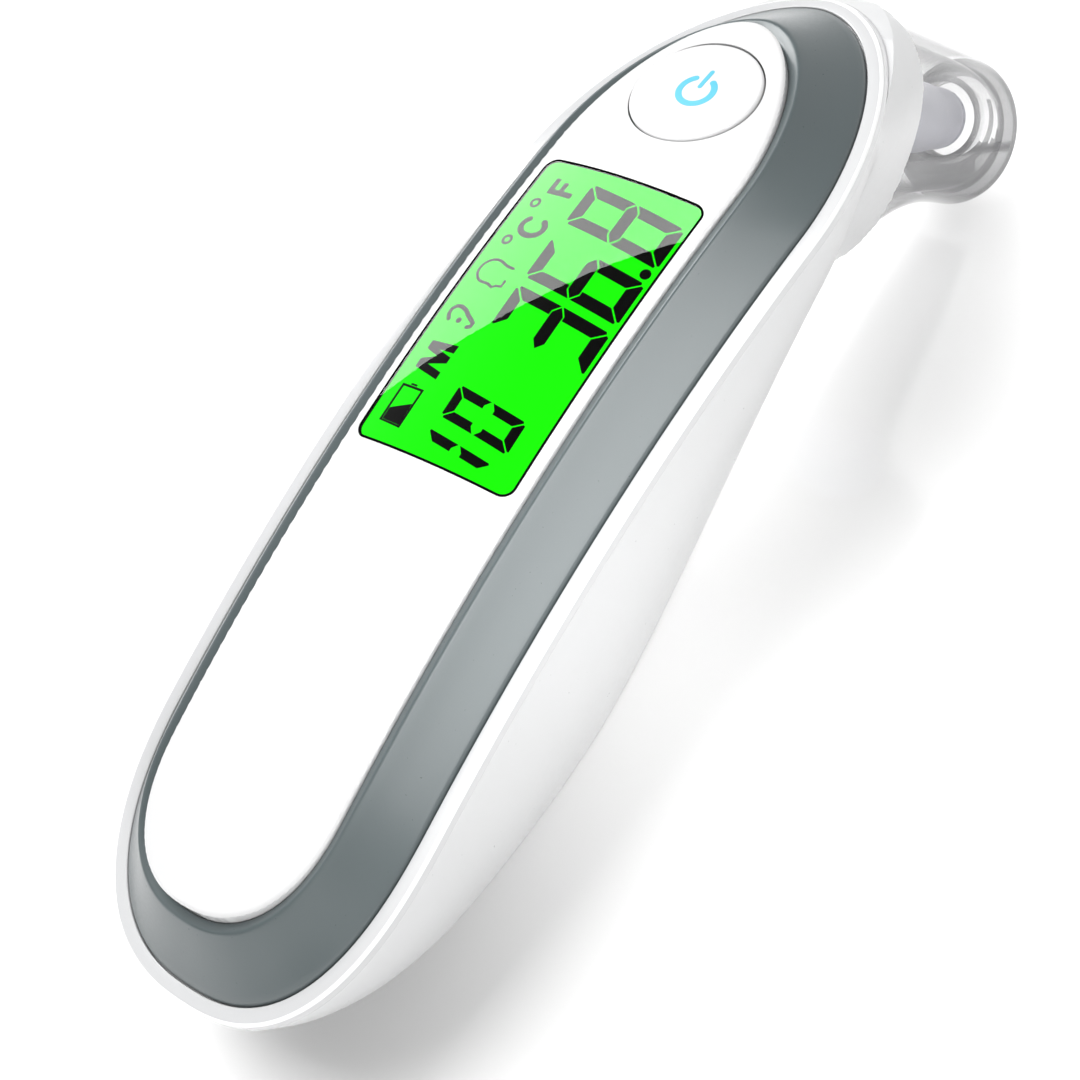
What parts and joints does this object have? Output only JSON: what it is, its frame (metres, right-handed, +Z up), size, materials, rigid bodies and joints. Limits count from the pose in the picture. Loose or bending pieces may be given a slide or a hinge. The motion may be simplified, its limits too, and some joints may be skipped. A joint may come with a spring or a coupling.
{
  "type": "digital ear thermometer",
  "caption": "Handheld infrared ear thermometer with a lit display, a round power key, a probe under a clear forehead cap and a sliding battery cover.",
  "frame": {"origin": "middle of the overall box at the table, where the battery cover's flat and the cap's lower edge rest", "axes": "+Z up, +Y toward the head and probe, +X to the right side of the face seen with the head up; the face looks up"},
  "size_m": [0.0406, 0.1634, 0.054],
  "materials": {
    "rear_casing": "glossy white",
    "battery_cover": "glossy white",
    "front_bezel": "glossy white",
    "trim_ring": "satin metallic grey",
    "front_panel": "high gloss white",
    "lcd_lens": "polished clear acrylic",
    "lens_seal": "matt black",
    "lcd_glass": "lit green display with dark segments",
    "lcd_backlight": "frosted light guide",
    "zebra_strip_1": "striped conductive rubber",
    "zebra_strip_2": "striped conductive rubber",
    "lcd_frame": "matt black",
    "power_button": "glossy white with a printed blue power symbol",
    "switch_plunger": "matt black",
    "tact_switch": "stamped cover",
    "main_pcb": "green solder mask",
    "mcu_chip": "moulded epoxy",
    "memory_chip": "moulded epoxy",
    "buzzer": "moulded",
    "pcb_screw_1": "zinc plated",
    "pcb_screw_2": "zinc plated",
    "chassis": "moulded grey",
    "case_screw_1": "zinc plated",
    "case_screw_2": "zinc plated",
    "battery_tray": "moulded black",
    "battery_1": "plain foil wrap with a bare end cap",
    "battery_2": "plain foil wrap with a bare end cap",
    "contact_bridge": "nickel plated",
    "contact_plus": "nickel plated",
    "contact_minus": "nickel plated",
    "battery_spring_1": "nickel plated wire",
    "battery_spring_2": "nickel plated wire",
    "probe_plate": "white",
    "plate_screw_1": "zinc plated",
    "plate_screw_2": "zinc plated",
    "probe_cone": "smooth light grey",
    "probe_tip_ring": "smooth grey",
    "probe_window": "dark infrared window",
    "waveguide": "gold plated tube",
    "thermopile": "metal can",
    "sensor_sleeve": "turned",
    "clear_cap": "clear moulded plastic",
    "sensor_lead": "insulated wire",
    "battery_lead_plus": "insulated wire",
    "battery_lead_minus": "insulated wire"
  },
  "bodies": {
    "device": {"rear_casing": "rear_casing", "front_bezel": "front_bezel", "trim_ring": "trim_ring", "front_panel": "front_panel", "lcd_lens": "lcd_lens", "lens_seal": "lens_seal", "lcd_glass": "lcd_glass", "lcd_backlight": "lcd_backlight", "zebra_strip_1": "zebra_strip_1", "zebra_strip_2": "zebra_strip_2", "lcd_frame": "lcd_frame", "tact_switch": "tact_switch", "main_pcb": "main_pcb", "mcu_chip": "mcu_chip", "memory_chip": "memory_chip", "buzzer": "buzzer", "pcb_screw_1": "pcb_screw_1", "pcb_screw_2": "pcb_screw_2", "chassis": "chassis", "case_screw_1": "case_screw_1", "case_screw_2": "case_screw_2", "battery_tray": "battery_tray", "battery_1": "battery_1", "battery_2": "battery_2", "contact_bridge": "contact_bridge", "contact_plus": "contact_plus", "contact_minus": "contact_minus", "battery_spring_1": "battery_spring_1", "battery_spring_2": "battery_spring_2", "probe_plate": "probe_plate", "plate_screw_1": "plate_screw_1", "plate_screw_2": "plate_screw_2", "probe_cone": "probe_cone", "probe_tip_ring": "probe_tip_ring", "probe_window": "probe_window", "waveguide": "waveguide", "thermopile": "thermopile", "sensor_sleeve": "sensor_sleeve", "sensor_lead": "sensor_lead", "battery_lead_plus": "battery_lead_plus", "battery_lead_minus": "battery_lead_minus"},
    "cap": {"clear_cap": "clear_cap"},
    "cover": {"battery_cover": "battery_cover"},
    "button": {"power_button": "power_button"},
    "plunger": {"switch_plunger": "switch_plunger"}
  },
  "joints": [
    {"name": "button_press", "type": "slide", "parent": "device", "child": "button", "axis": [0, 0.2215, -0.9751], "range_m": [0, 0.0007], "stiffness_N_per_m": 1500},
    {"name": "plunger_press", "type": "slide", "parent": "device", "child": "plunger", "axis": [0, 0.2215, -0.9751], "range_m": [0, 0.0007]},
    {"name": "cap_pull", "type": "slide", "parent": "device", "child": "cap", "axis": [0, 0.7638, -0.6455], "range_m": [0, 0.012]},
    {"name": "cover_slide", "type": "slide", "parent": "device", "child": "cover", "axis": [0, -1, 0], "range_m": [0, 0.007]}
  ],
  "couplings": [
    {"joint": "plunger_press", "follows": "button_press", "ratio": 1}
  ]
}
